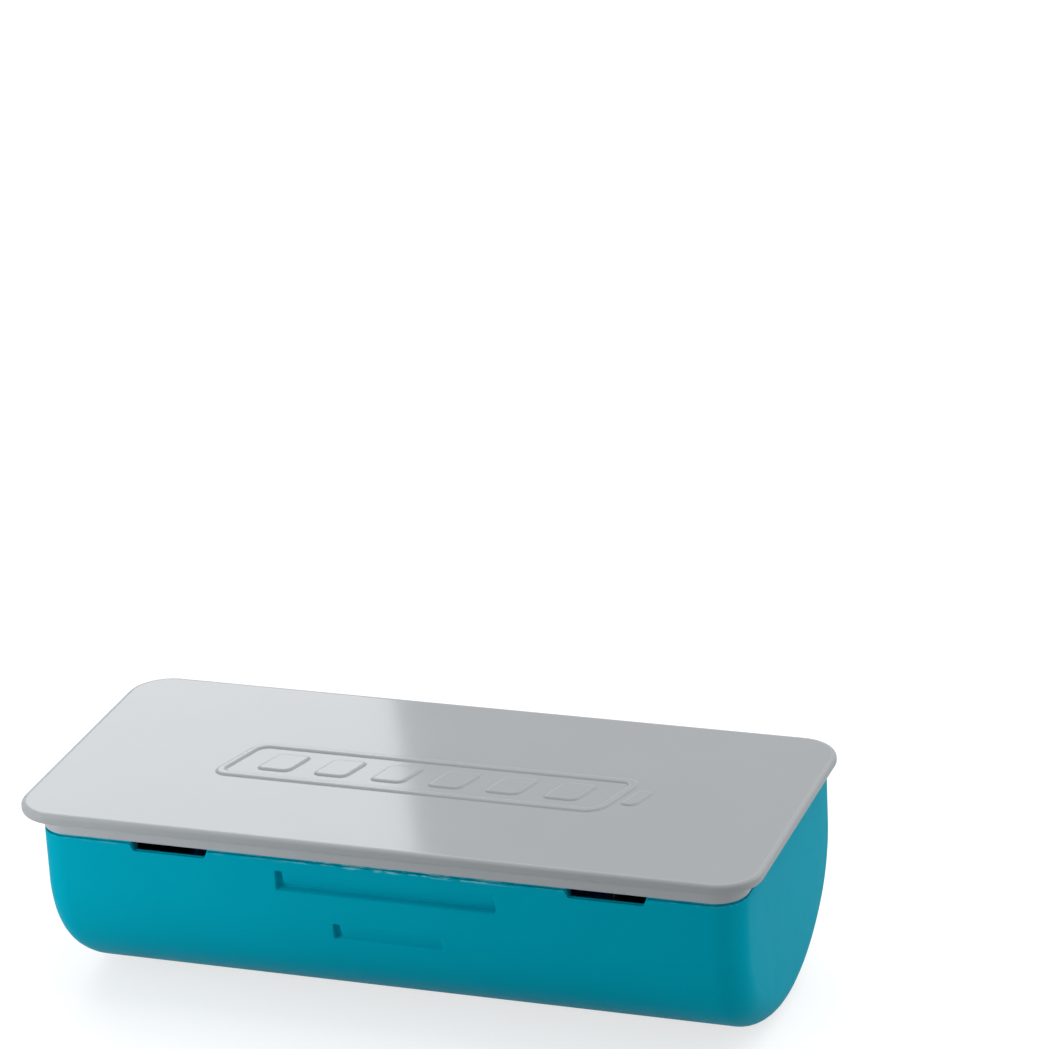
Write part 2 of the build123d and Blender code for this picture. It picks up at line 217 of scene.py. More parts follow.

# %% [markdown]
# Two places on the casing have light or shade painted into their colour. On the tray's front rim, short
# pale specks, most of them near the middle, are a painted highlight along the rim's edge. The lid's rounded
# edge is painted a darker grey than its top, as painted shade. A painted image could show them, but a mask
# stays
# sharp at any size: it finds them by their place on the piece and by how far the surface looks up.

# %% Masks for painted highlight and painted shade
# Where the painted highlight goes: pale specks along the front rim's edge.
HIGHLIGHT_HEIGHT = (26.55, 26.9)
HIGHLIGHT_FRONT = (0.0, -10.0)
HIGHLIGHT_MIDDLE = 5.0
HIGHLIGHT_REACH = (22.0, 6.0)
HIGHLIGHT_AT_ENDS = 0.15
SPECK_SCALE = (0.18, 1.0, 1.0)
SPECK_MM = 0.35
SPECK_LEVELS = (0.48, 0.60)
# Where the painted shade goes: the lid's rounded edge, darker than its top.
EDGE_FOOT = (28.75, 29.15)
EDGE_TOP = (30.4, 30.25)
SIDEWAYS = (0.2, 0.8)


def rim_painted_highlight(start, point):
    """Painted highlight as pale specks on the front rim: drawn-out noise in a narrow height, most near the
    middle.
    """
    along, across, height = (part_of(point, axis) / MM for axis in "XYZ")
    speck = noise(drawn_out(point, SPECK_SCALE), SPECK_MM, 3.0).between(*SPECK_LEVELS)
    middle = start.math("ABSOLUTE", along - HIGHLIGHT_MIDDLE, 0.0).between(*HIGHLIGHT_REACH)
    share = HIGHLIGHT_AT_ENDS + (1 - HIGHLIGHT_AT_ENDS) * middle
    return height.between(*HIGHLIGHT_HEIGHT) * across.between(*HIGHLIGHT_FRONT) * speck * share


def upward_share(start, low, high):
    """Share from 0 to 1 as the upright part of the surface's normal goes from low to high."""
    return part_of(start.make("ShaderNodeNewGeometry", output="Normal"), "Z").between(low, high)


def plate_edge_shade(start, point):
    """Painted shade on the plate's rounded edge: faces that look sideways, above the band and below the
    plate's top.
    """
    height = part_of(point, "Z") / MM
    return height.between(*EDGE_FOOT) * height.between(*EDGE_TOP) * (1 - upward_share(start, *SIDEWAYS))


# Heights where the painted highlight and the painted shade begin.
print("wear starts", HIGHLIGHT_HEIGHT[0], "mm up, the plate's edge", EDGE_FOOT[0], "mm up")

# %% [markdown]
# The tray is moulded in teal plastic with a satin skin. A real moulding isn't one flat colour: the
# pigment drifts a little, the skin has a fine spark-eroded grain, and the gloss varies from place to
# place. Each of those is one noise at its own scale. The lid is the same kind of plastic with a polished
# top that has the slight long waves of moulded flats. Its rounds and upright faces are matt.

# %% Casing finishes
TEAL = (0.0, 0.313, 0.429)
RIM_HIGHLIGHT = (0.14, 0.48, 0.55)
GREY = (0.331, 0.353, 0.371)
EDGE_SHADE_GREY = (0.290, 0.310, 0.325)
PIGMENT_TINTS = (0.955, 1.045)
DRIFT_MM = 14.0
PIGMENT_MM = 0.25
GLOSS_MM = 3.0
LEVEL = (0.9985, 0.99995)


def moulded_plastic(name, colour, gloss, grain, waves, specular=0.5, side_gloss=None, painted_light=None):
    """Moulded plastic: pigment drift, uneven gloss, and a bump of fine grain on long shallow waves.

    Gloss is the roughness of faces that look up, and side_gloss that of rounds and upright faces. Grain and
    waves each have a size and a depth in millimetres. Painted_light is a mask and the colour that it paints
    in:
    painted shade or a painted highlight.
    """
    material, start = new_finish(name)
    point = piece_point(start)
    pigment = 0.7 * noise(point, DRIFT_MM, 3.0) + 0.3 * noise(point, PIGMENT_MM, 1.0)
    base = two_tints(pigment, colour, PIGMENT_TINTS)
    # Painted light: the mask blends in a colour that stands for a highlight or for shade.
    if painted_light:
        mask, painted_colour = painted_light
        base = mask(start, point).blend(base, opaque(painted_colour))
    roughness = gloss * (0.85 + 0.3 * noise(point, GLOSS_MM, 3.0))
    if side_gloss:
        roughness = roughness + (side_gloss - gloss) * (1 - upward_share(start, *LEVEL))
    height = grain[1] * MM * noise(point, grain[0]) + waves[1] * MM * noise(point, waves[0], 0.0)
    return finished(material, start, {
        "Base Color": base, "Roughness": roughness, "Normal": relief(start, height), "IOR": 1.5,
        "Specular IOR Level": specular,
    })


# The tray's colour carries a painted highlight along its front rim.
tray_teal = moulded_plastic(
    "tray_teal", TEAL, 0.40, (0.30, 0.004), (16.0, 0.01), specular=0.006, painted_light=(rim_painted_highlight, RIM_HIGHLIGHT),
)
# The lid's colour carries painted shade on its rounded edge.
lid_grey = moulded_plastic(
    "lid_grey", GREY, 0.075, (0.60, 0.0002), (22.0, 0.003), specular=0.35, side_gloss=0.50,
    painted_light=(plate_edge_shade, EDGE_SHADE_GREY),
)
print("casing finishes:", tray_teal.name, lid_grey.name)

# %% [markdown]
# The stage is a wide pale floor. To the eye, and in reflections, it is white and keeps the pack's soft
# shadow: part of its white is its own, and the rest is the light that reaches it. To bounced light it is
# plain matt white paper, which sends light back up to the round underside.

# %% Floor
FLOOR_HALF = 3.0
FLOOR_GLOW = 0.70
FLOOR_WHITE = 0.40
FLOOR_BOUNCE = 0.62
WHITE = opaque((1.0,) * 3)


def seen_directly(start):
    """1 for a ray from the eye, a mirror or clear glass, 0 for scattered light."""
    outputs = start.make("ShaderNodeLightPath").socket.node.outputs
    eye, mirror, glass = (
        Wire(start.tree, outputs[f"Is {kind} Ray"]) for kind in ("Camera", "Glossy", "Transmission")
    )
    return start.math("MINIMUM", eye + mirror + glass, 1.0)


def floor_finish():
    """White with a shadow where it is seen, and matt paper to scattered light."""
    material, start = new_finish("floor_white")
    seen = start.make("ShaderNodeBsdfDiffuse", None, {"Color": opaque((FLOOR_WHITE,) * 3)})
    glow = start.make("ShaderNodeEmission", None, {"Color": WHITE, "Strength": FLOOR_GLOW})
    lit = start.make("ShaderNodeAddShader", None, {0: seen, 1: glow})
    bounce = start.make("ShaderNodeBsdfDiffuse", None, {"Color": opaque((FLOOR_BOUNCE,) * 3)})
    surface = start.make("ShaderNodeMixShader", None, {0: seen_directly(start), 1: bounce, 2: lit})
    close_finish(start, surface)
    return material


floor_mesh = bpy.data.meshes.new("floor")
corners = np.array([(-1, -1, 0), (1, -1, 0), (1, 1, 0), (-1, 1, 0)]) * FLOOR_HALF
floor_mesh.from_pydata(corners.tolist(), [], [(0, 1, 2, 3)])
floor = bpy.data.objects.new("floor", floor_mesh)
bpy.context.collection.objects.link(floor)
floor_mesh.materials.append(floor_finish())
print("floor:", 2 * FLOOR_HALF, "m wide")

# %% [markdown]
# A photograph on white paper has no horizon, so the sky is plain white to the eye too. To scattered light
# it is dimmer, and as it comes from all round, it gives the pack much of its even light.

# %% World
SKY_LEVEL = 0.455

world = bpy.data.worlds.new("studio")
bpy.context.scene.world = world
world.use_nodes = True
world.node_tree.nodes.clear()
sky = Wire(world.node_tree)
soft, bright = (
    sky.make("ShaderNodeBackground", None, {"Color": WHITE, "Strength": strength})
    for strength in (SKY_LEVEL, 1.0)
)
sky.make("ShaderNodeOutputWorld", None, {
    "Surface": sky.make("ShaderNodeMixShader", None, {0: seen_directly(sky), 1: soft, 2: bright}),
})
print("world:", world.name, "at", SKY_LEVEL)

# %% [markdown]
# The lamps are three soft panels and one wide lamp overhead. The key is small and weak, low and near on
# the left, in front, so that the long side darkens from left to right. The fill is a broad panel on the
# right, a little behind, for the right end. The window is a panel far behind: its right edge is mirrored
# in the glossy lid, which is lighter to the left of it.

# %% Lights
TOP_STRENGTH = 1.70
TOP_SPREAD = radians(80)
TOP_FROM = (0.1, 0.45, 1.0)


def facing(direction):
    """Turn that points a lamp's back along a direction."""
    return direction.to_track_quat("Z", "Y").to_matrix().to_4x4()


def panel(name, place_mm, target_mm, size_mm, watts):
    """Square area light at a place, turned to a target, and hidden from the eye."""
    lamp = bpy.data.lights.new(name, "AREA")
    lamp.shape = "SQUARE"
    lamp.size = size_mm * MM
    lamp.energy = watts
    light = bpy.data.objects.new(name, lamp)
    bpy.context.collection.objects.link(light)
    place, target = Vector(place_mm) * MM, Vector(target_mm) * MM
    light.matrix_world = Matrix.Translation(place) @ facing(place - target)
    light.visible_camera = False
    return light


key = panel("key_light", (-145, -125, 36), (-40, -10, 15), 90, 0.15)
fill = panel("fill_light", (430, 130, 90), (50, 0, 15), 460, 0.64)
window = panel("window_light", (-404, 606, 368), (-4, 1, 30), 300, 0.66)
top_lamp = bpy.data.lights.new("top_light", "SUN")
top_lamp.energy = TOP_STRENGTH
top_lamp.angle = TOP_SPREAD
top_light = bpy.data.objects.new("top_light", top_lamp)
top_light.matrix_world = facing(Vector(TOP_FROM))
bpy.context.collection.objects.link(top_light)
print("lights:", key.name, fill.name, window.name, top_light.name)

# %% [markdown]
# A casing is made of patches: grids of points worked out as whole arrays in millimetres. Each patch knows
# whether its rows close on themselves. The patches of one moulding share their border points, so merging
# those that coincide closes the shell, and then its faces can be turned outwards in one step.

# %% Patches and pieces
WELD_MM = 0.002
SHARP_ANGLE = radians(38)


def grid_faces(rows, columns, closed, start):
    """Quads of a grid numbered row by row; closed joins the last column to the first."""
    row = np.arange(rows - 1)[:, None]
    column = np.arange(columns if closed else columns - 1)[None, :]
    beside = (column + 1) % columns
    quad = (row * columns + column, row * columns + beside,
            (row + 1) * columns + beside, (row + 1) * columns + column)
    return start + np.stack(quad, -1).reshape(-1, 4)


class Moulding:
    """Patches of one piece, gathered as points in millimetres and faces."""

    def __init__(self):
        self.points = []
        self.faces = []
        self.count = 0

    def add(self, points, closed=False, keep=None):
        """Add a grid of points; keep is a mask of the quads that stay, where the patch has a hole."""
        rows, columns = points.shape[:2]
        quads = grid_faces(rows, columns, closed, self.count)
        self.faces += quads.tolist() if keep is None else quads[keep.ravel()].tolist()
        self.points.append(points.reshape(-1, 3))
        self.count += rows * columns

    def lid_over(self, loop):
        """Close a loop of points with one face."""
        self.faces.append(list(range(self.count, self.count + len(loop))))
        self.points.append(loop)
        self.count += len(loop)

    def prism(self, profile, start, end):
        """Solid along X of a closed profile given in Y and Z."""
        x = np.array([start, end])[:, None] * np.ones(len(profile))
        ring = np.stack([x, *(np.broadcast_to(values, x.shape) for values in profile.T)], -1)
        self.add(ring, closed=True)
        self.lid_over(ring[0])
        self.lid_over(ring[1])

    def block(self, low, high):
        """Box between two corners, as a prism along X."""
        y0, z0, y1, z1 = low[1], low[2], high[1], high[2]
        self.prism(np.array([(y0, z0), (y1, z0), (y1, z1), (y0, z1)]), low[0], high[0])

    def piece(self, name, material, slot, *nodes):
        """Mesh object on the body, in place of the CAD nodes that it stands for."""
        mesh = bpy.data.meshes.new(name)
        mesh.from_pydata(np.concatenate(self.points) * MM, [], self.faces)
        shape = bmesh.new()
        shape.from_mesh(mesh)
        bmesh.ops.remove_doubles(shape, verts=shape.verts, dist=WELD_MM * MM)
        bmesh.ops.dissolve_degenerate(shape, edges=shape.edges, dist=WELD_MM * MM)
        bmesh.ops.recalc_face_normals(shape, faces=shape.faces)
        open_edges = sum(not edge.is_manifold for edge in shape.edges)
        shape.to_mesh(mesh)
        shape.free()
        mesh.polygons.foreach_set("use_smooth", np.ones(len(mesh.polygons), bool))
        mesh.set_sharp_from_angle(angle=SHARP_ANGLE)
        mesh.materials.append(material)
        made = bpy.data.objects.new(name, mesh)
        bpy.context.collection.objects.link(made)
        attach(made, "root")
        if nodes:
            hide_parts(*nodes)
        print(name + ":", len(mesh.polygons), "faces,", open_edges, "open edges")


print("a grid of 3 by 4 points:", len(grid_faces(3, 4, False, 0)), "quads")

# %% [markdown]
# An even grid fine enough for the smallest edge would be far too heavy. So the lines of a grid are wide
# apart on the plain parts and crowd only round the edges of a feature.

# %% Grid lines
def near(places, reach, count=5):
    """Grid lines crowded round each of some places."""
    return np.add.outer(np.asarray(places, float), reach * np.linspace(-1, 1, count)).ravel()


def lines(start, end, step, *crowded):
    """Grid lines from start to end at about a step, with crowded ones among them."""
    even = np.linspace(start, end, max(int(abs(end - start) / step), 1) + 1)
    extra = np.concatenate([np.ravel(group) for group in crowded]) if crowded else np.array([])
    low, high = min(start, end), max(start, end)
    extra = extra[(extra > low) & (extra < high)]
    every = np.unique(np.round(np.concatenate([even, extra]), 4))
    return every if start < end else every[::-1]


def step(value, low, high):
    """Smooth step from 0 to 1: 3t² - 2t³ of the share t of the way from low to high."""
    share = np.clip((value - low) / (high - low), 0, 1)
    return share * share * (3 - 2 * share)


print("lines crowded round 2:", lines(0, 4, 1, near([2], 0.1, 3)))

# %% [markdown]
# The trough's section is an arch on three centres: upright sides, two side arcs and a flatter bottom arc,
# which all meet in line. Taken in by an inset, each arc keeps its centre and loses that much radius, so
# the same formula gives the outer skin, the inner skin and the rounded rims of the two ends.

# %% The trough's section
WALL = 1.8
END_ROUND = 4.5
SPRING_Z = 19.2
BOTTOM_CENTRE_RISE = 8.75
FOOT_CUT = 0.35

tray_low, tray_high = (np.array(corner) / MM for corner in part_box("tray"))
tray_x = (tray_low[0] + tray_high[0]) / 2
tray_reach = (tray_high[0] - tray_low[0]) / 2
tray_half = tray_high[1]
rim_z = tray_high[2]
depth_below_spring = SPRING_Z + FOOT_CUT
bottom_round = depth_below_spring + BOTTOM_CENTRE_RISE
bottom_centre = SPRING_Z + BOTTOM_CENTRE_RISE
side_round = bottom_round ** 2 - BOTTOM_CENTRE_RISE ** 2 - tray_half ** 2
side_round /= 2 * (bottom_round - tray_half)
side_centre = tray_half - side_round
joint_angle = atan2(side_centre, BOTTOM_CENTRE_RISE)


def half_section(inset, wall_z, side_angles, bottom_angles):
    """Half of the arch from the rim to the middle of the bottom: Y and Z, a column for each inset.

    Wall: y = half width - inset. Side arc: the side centre plus (side round - inset) turned down by an
    angle. Bottom arc: (bottom round - inset) turned out from straight down by an angle.
    """
    inset = np.atleast_1d(inset)[None, :]
    wall_z, side, bottom = wall_z[:, None], side_angles[1:, None], bottom_angles[1:, None]
    y = np.concatenate([
        tray_half - inset + 0 * wall_z,
        side_centre + (side_round - inset) * np.cos(side),
        (bottom_round - inset) * np.sin(bottom),
    ])
    z = np.concatenate([
        wall_z + 0 * inset,
        SPRING_Z - (side_round - inset) * np.sin(side),
        bottom_centre - (bottom_round - inset) * np.cos(bottom),
    ])
    return y, z


def stations(inset, x_lines, turns):
    """Stations along the trough and the inset at each: quarter rounds of the end's radius at both ends.

    At a turn t from 0 to 90 degrees, with r = round - inset: x = end - inset - r(1 - sin t), and the
    inset there is inset + r(1 - cos t).
    """
    reach = END_ROUND - inset
    into = inset + reach * (1 - np.sin(turns))
    taken = inset + reach * (1 - np.cos(turns))
    x = np.concatenate([tray_x - tray_reach + into[::-1], x_lines, tray_x + tray_reach - into])
    return x, np.concatenate([taken[::-1], np.full(len(x_lines), inset), taken])


print("section: side round", round(side_round, 2), "bottom round", round(bottom_round, 2))

# %% [markdown]
# The tray's skin carries the features of the photograph. Two detents curve in from the front and step
# back out at their lower edge. Their left corner is deep from the top, and the short one is shallower
# along the rest of its run. Two pry notches lower the rim on each long side. Boolean cuts would leave
# hard edges, so all are depths added to the smooth skin, with grid lines crowded round their edges.

# %% Detents and notches
DETENT_X = tray_x + 0.75
DETENT_STEP = 0.6
DETENT_DRAFT = 0.3
DETENT_CURVE = 1.5
DETENT_CORNER = (0.5, 1.4)
LONG_DETENT = {"top": rim_z - 2.0, "height": 3.2, "depth": 1.0, "half": 16.35, "run": 1.0}
SHORT_DETENT = {"top": rim_z - 9.4, "height": 2.7, "depth": 0.9, "half": 8.2, "run": 0.6}
NOTCH_OFFSET = 32.35
NOTCH_X = (DETENT_X - NOTCH_OFFSET, DETENT_X + NOTCH_OFFSET)
NOTCH_HALF = 6.0
NOTCH_HEIGHT = 1.1
NOTCH_SLOPE = 0.7
NOTCH_ROOT = 23.5
NOTCH_FALL = 0.75


def detent_depth(x, z, top, height, depth, half, run):
    """Depth of a detent: grows with a power of the way down, and returns in a smooth step at the foot.

    In the left corner it has its whole depth almost from the top, and elsewhere the share run of it.
    """
    low = top - height
    root = low + DETENT_STEP
    down = np.clip((top - z) / (top - root), 0, 1)
    foot = step(z, low, root)
    ends = step(half - np.abs(x - DETENT_X), 0, DETENT_DRAFT)
    corner = 1 - step(x - DETENT_X + half, *DETENT_CORNER)
    fall = corner * step(top - z, 0, DETENT_STEP) + (1 - corner) * run * down ** DETENT_CURVE
    return depth * fall * foot * ends


def notch_drop(x, inset):
    """How far the rim is lowered at a station, with sloping ends; the notch's floor falls to the inside."""
    share = sum(step(NOTCH_HALF - np.abs(x - middle), 0, NOTCH_SLOPE) for middle in NOTCH_X)
    return share * (NOTCH_HEIGHT + NOTCH_FALL * inset / WALL)


def lowered(x, z, inset):
    """Heights with the notches: the rim goes down by the notch, and what is below follows less and less."""
    return z - notch_drop(x, inset) * np.clip((z - NOTCH_ROOT) / (rim_z - NOTCH_ROOT), 0, 1)


detents = (LONG_DETENT, SHORT_DETENT)
detent_ends = [DETENT_X + side * (d["half"] - DETENT_DRAFT / 2) for d in detents for side in (-1, 1)]
detent_corners = [DETENT_X - d["half"] + sum(DETENT_CORNER) / 2 for d in detents]
notch_ends = [x + side * (NOTCH_HALF - NOTCH_SLOPE / 2) for x in NOTCH_X for side in (-1, 1)]
print("detents end at", np.round(detent_ends, 2), "and notches at", np.round(notch_ends, 2))

# %% [markdown]
# In the underside, a window lets the contact block's nose through, and inside, a flat seat carries its
# flange. Shallow pockets in the walls take the lid's hooks. None of these shows in the closed pack, but
# the moulding wouldn't be whole without them, so the grid along the trough has lines at their edges too.

# %% Window, pockets and stations
WINDOW_HALF = np.array([7.0, 2.8])
FLANGE_MARGIN = 1.4
NOSE_DEPTH = 1.4
HOOK_OFFSET = 21.35
HOOK_X = [DETENT_X + side * HOOK_OFFSET for side in (-1, 1)]
HOOK_HALF = 4.0
HOOK_CLEARANCE = 0.2
EDGE_MM = 0.04
ALONG_STEP = 3.0
# Reach in millimetres and number of the lines round an edge.
DRAFT_LINES, CORNER_LINES, SLOPE_LINES = (0.3, 7), (0.5, 6), (0.55, 9)

block_low, block_high = (np.array(corner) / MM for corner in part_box("contact_block"))
window_middle = (block_low[:2] + block_high[:2]) / 2
window_low, window_high = window_middle - WINDOW_HALF, window_middle + WINDOW_HALF
seat_low, seat_high = window_low - FLANGE_MARGIN, window_high + FLANGE_MARGIN
seat_z = block_low[2] + NOSE_DEPTH

end_turns = np.linspace(0, pi / 2, 11)
pocket_ends = [x + side * (HOOK_HALF + HOOK_CLEARANCE) for x in HOOK_X for side in (-1, 1)]
seat_ends = [seat_low[0], seat_high[0]]
x_lines = lines(
    tray_x - tray_reach + END_ROUND, tray_x + tray_reach - END_ROUND, ALONG_STEP,
    near(detent_ends, *DRAFT_LINES), near(detent_corners, *CORNER_LINES), near(notch_ends, *SLOPE_LINES),
    near(pocket_ends + seat_ends, EDGE_MM, 2), [window_low[0], window_high[0]],
)[1:-1]
print("lines along the trough:", len(x_lines), "window from", window_low, "to", window_high)

# %% [markdown]
# The trough is three kinds of patch. A skin is the section carried along the stations. A cap is the flat
# end inside the last section. The rim is a small profile carried round the top. Lofting between a few
# curves would be quicker to draw, but then the borders of the patches wouldn't share their points.

# %% Skins, caps and rim loops
cap_shares = np.linspace(-1, 1, 9)[1:-1]


def skin(inset, wall_z, side_angles, bottom_y):
    """Whole skin of the trough at an inset: at each station the section's front half, then its back."""
    x, taken = stations(inset, x_lines, end_turns)
    in_arc = np.arcsin(bottom_y / (bottom_round - inset))
    bottom_angles = np.concatenate([np.linspace(joint_angle, in_arc[0], 5)[:-1], in_arc])
    y, z = half_section(taken, wall_z, side_angles, bottom_angles)
    y = np.concatenate([-y, y[-2::-1]])
    z = np.concatenate([z, z[-2::-1]])
    return np.stack([np.broadcast_to(x, y.shape), y, z], -1)


def cap(points, column):
    """Flat end inside one column of a skin: its two halves joined level by level."""
    half = (len(points) + 1) // 2
    edge = points[:half, column]
    shares = np.concatenate([[1.0], -cap_shares, [-1.0]])
    level = np.repeat(edge[:, None], len(shares), 1)
    level[..., 1] *= shares
    return level


def rim_loop(inset, drop):
    """Closed loop round the rim at an inset and a drop below its top, lowered at the notches."""
    x, taken = stations(inset, x_lines, end_turns)
    across = cap_shares * (tray_half - END_ROUND)
    right = np.full(len(across), tray_x + tray_reach - inset)
    left = np.full(len(across), tray_x - tray_reach + inset)
    loop_x = np.concatenate([x, right, x[::-1], left])
    loop_y = np.concatenate([taken - tray_half, across, (tray_half - taken)[::-1], across[::-1]])
    return np.stack([loop_x, loop_y, lowered(loop_x, rim_z - drop + 0 * loop_x, inset)], -1)


print("points round the rim:", len(rim_loop(0, 0)))

# %% [markdown]
# The outer skin is what the eye sees. It gets the detents on its front half and the notches in its rim,
# and a flat foot where the round underside would go below the ground.

# %% Outer skin
RIM_STEP = 0.35
RIM_EDGE = 0.1
WALL_STEP, TURN_STEP, LEVEL_STEP = 0.8, 0.05, 0.2
BOTTOM_REACH, BOTTOM_STEP = 13.5, 1.0
LEVEL_LINES, FOOT_LINES = (0.12, 3), (0.15, 3)


def side_levels(detent):
    """Heights that a detent's grid lines crowd round."""
    low = detent["top"] - detent["height"]
    return np.concatenate([near([low, detent["top"]], *LEVEL_LINES), lines(low, detent["top"], LEVEL_STEP)])


outer_wall_z = lines(rim_z - RIM_STEP - RIM_EDGE, SPRING_Z, WALL_STEP, side_levels(LONG_DETENT))
side_lines = np.arcsin((SPRING_Z - side_levels(SHORT_DETENT)) / side_round)
outer_angles = lines(0, pi / 2 - joint_angle, TURN_STEP, side_lines)
foot_edge = sqrt(bottom_round ** 2 - bottom_centre ** 2)
bottom_y = lines(
    BOTTOM_REACH, 0.0, BOTTOM_STEP, [window_low[1], window_high[1]], near([foot_edge], *FOOT_LINES),
    near([seat_low[1], seat_high[1]], EDGE_MM, 2),
)
outer = skin(0, outer_wall_z, outer_angles, bottom_y)
front = slice(0, (len(outer) + 1) // 2)
outer[front, :, 1] += sum(detent_depth(outer[front, :, 0], outer[front, :, 2], **d) for d in detents)
outer[..., 2] = np.maximum(lowered(outer[..., 0], outer[..., 2], 0), 0)
print("outer skin:", outer.shape[:2], "points, foot", round(2 * foot_edge, 2), "mm wide")

# %% [markdown]
# The inner skin is the same arch taken in by the wall. Points inside a pocket move out by the hook's barb,
# and points over the seat move up to its flat.

# %% Inner skin
RIM_INNER_ROUND = 0.15
HOOK_BARB = 0.7
HOOK_BOTTOM = rim_z - 5.4
HOOK_HEIGHT = 1.05
INNER_WALL_STEP, INNER_TURN_STEP = 1.6, 0.09

pocket_z = (HOOK_BOTTOM - HOOK_CLEARANCE, HOOK_BOTTOM + HOOK_HEIGHT + HOOK_CLEARANCE)
inner_wall_z = lines(rim_z - RIM_INNER_ROUND, SPRING_Z, INNER_WALL_STEP, near(pocket_z, EDGE_MM, 2))
inner_angles = lines(0, pi / 2 - joint_angle, INNER_TURN_STEP)
inner = skin(WALL, inner_wall_z, inner_angles, bottom_y)
in_pocket = (np.abs(np.subtract.outer(inner[..., 0], HOOK_X)).min(-1) < HOOK_HALF + HOOK_CLEARANCE)
in_pocket &= (inner[..., 2] > pocket_z[0]) & (inner[..., 2] < pocket_z[1])
inner[..., 1] += in_pocket * np.sign(inner[..., 1]) * HOOK_BARB
on_seat = ((inner[..., :2] > seat_low) & (inner[..., :2] < seat_high)).all(-1) & (inner[..., 2] < seat_z)
inner[..., 2] = np.where(on_seat, seat_z, lowered(inner[..., 0], inner[..., 2], WALL))
print("inner skin:", inner.shape[:2], "points,", int(on_seat.sum()), "of them on the seat")

# %% [markdown]
# Both skins have grid lines along the window's four edges, so the window is a rectangle of quads left out
# of each, and one band of faces joins the two holes. The rim's profile joins the skins at the top, with
# a small step outside that makes the dark seam under the lid.

# %% The tray
def window_rows(points):
    """First and last row and column of the window in a skin."""
    middle = points.shape[1] // 2
    y = np.where(np.arange(len(points)) < len(points) // 2, np.inf, points[:, middle, 1])
    rows = [int(np.abs(y - edge).argmin()) for edge in (window_low[1], window_high[1])]
    columns = [int(np.abs(points[0, :, 0] - edge).argmin()) for edge in (window_low[0], window_high[0])]
    return rows, columns


def around_window(points):
    """Loop of a skin's points round the window."""
    (r0, r1), (c0, c1) = window_rows(points)
    return np.concatenate([
        points[r0, c0:c1], points[r0:r1, c1], points[r1, c1:c0:-1], points[r1:r0:-1, c0],
    ])


def outside_window(points):
    """Mask of a skin's quads that lie outside the window."""
    (r0, r1), (c0, c1) = window_rows(points)
    keep = np.ones((points.shape[0] - 1, points.shape[1] - 1), bool)
    keep[r0:r1, c0:c1] = False
    return keep


tray = Moulding()
for points in (outer, inner):
    tray.add(points, keep=outside_window(points))
    tray.add(cap(points, 0))
    tray.add(cap(points, -1))
rim_turn = np.linspace(0, pi / 2, 5)
rim_profile = [(RIM_EDGE * (1 - cos(t)), RIM_STEP + RIM_EDGE * (1 - sin(t))) for t in rim_turn]
rim_profile += [(RIM_STEP, RIM_STEP), (RIM_STEP, 0.0)]
rim_profile += [
    (WALL - RIM_INNER_ROUND * (1 - cos(t)), RIM_INNER_ROUND * (1 - sin(t))) for t in rim_turn[::-1]
]
tray.add(np.stack([rim_loop(inset, drop) for inset, drop in rim_profile]), closed=True)
tray.add(np.stack([around_window(outer), around_window(inner)]), closed=True)
print("window lines:", window_rows(outer), window_rows(inner))

# %% [markdown]
# Upright ribs cradle the cells. A rib is a plate across the trough: at each distance from the middle it
# stands on the inner skin and reaches up to its top edge, or to the cell's round where that is lower.

# %% Ribs
CELL_Y, CELL_Z, BORE_RADIUS = 9.5, 15.5, 9.35
RIB_TOP = 12.5
RIB_THICKNESS = 1.6
PASSAGE_HALF = 4.2
CRADLE_X = 22.0
STOP_X = 33.8
SINK = 0.15


def inner_floor(y):
    """Height of the inner skin: the bottom arc up to its joint with the side arc, then that arc."""
    joint_y = (bottom_round - WALL) * sin(joint_angle)
    bottom = bottom_centre - np.sqrt((bottom_round - WALL) ** 2 - np.minimum(y, joint_y) ** 2)
    side = SPRING_Z - np.sqrt((side_round - WALL) ** 2 - np.clip(y - side_centre, 0, None) ** 2)
    return np.where(y < joint_y, bottom, side)


def rib(x, bored):
    """Two plates across the trough at a station, with the passage for the leads between them."""
    wall_y = side_centre + sqrt((side_round - WALL) ** 2 - (SPRING_Z - RIB_TOP) ** 2)
    y = np.linspace(PASSAGE_HALF, wall_y, 24)
    foot = inner_floor(y) - SINK
    bore = CELL_Z - np.sqrt(np.clip(BORE_RADIUS ** 2 - (y - CELL_Y) ** 2, 0, None))
    head = np.minimum(RIB_TOP, bore) if bored else np.full(len(y), RIB_TOP)
    head = np.maximum(head, foot + SINK / 2)
    near_x, far_x = x - RIB_THICKNESS / 2, x + RIB_THICKNESS / 2
    for side in (-1, 1):
        ring = [(near_x, foot), (near_x, head), (far_x, head), (far_x, foot)]
        plate = np.stack([np.stack([np.full(len(y), rx), side * y, rz], -1) for rx, rz in ring], 1)
        tray.add(plate, closed=True)
        tray.lid_over(plate[0])
        tray.lid_over(plate[-1])


for side in (-1, 1):
    rib(tray_x + side * CRADLE_X, True)
    rib(tray_x + side * STOP_X, False)
tray.piece("tray_moulding", tray_teal, "tray", "tray")

# %% [markdown]
# The lid is one profile carried round a rounded rectangle: over the plate's rounded edge, under its
# overhang, down the band that stands on the tray's rim, and round the lip that hangs inside. The overhang
# isn't the same on all sides, so the plate's loops and the band's loops have their own middle and size,
# but they have the same number of points and join up one to one.

# %% Loops of the lid
PLATE = 1.5
PLATE_CORNER = 6.2
CORNER_MIN = 0.4
LOOP_STEP = 0.05
GAP_SHARE = 0.001

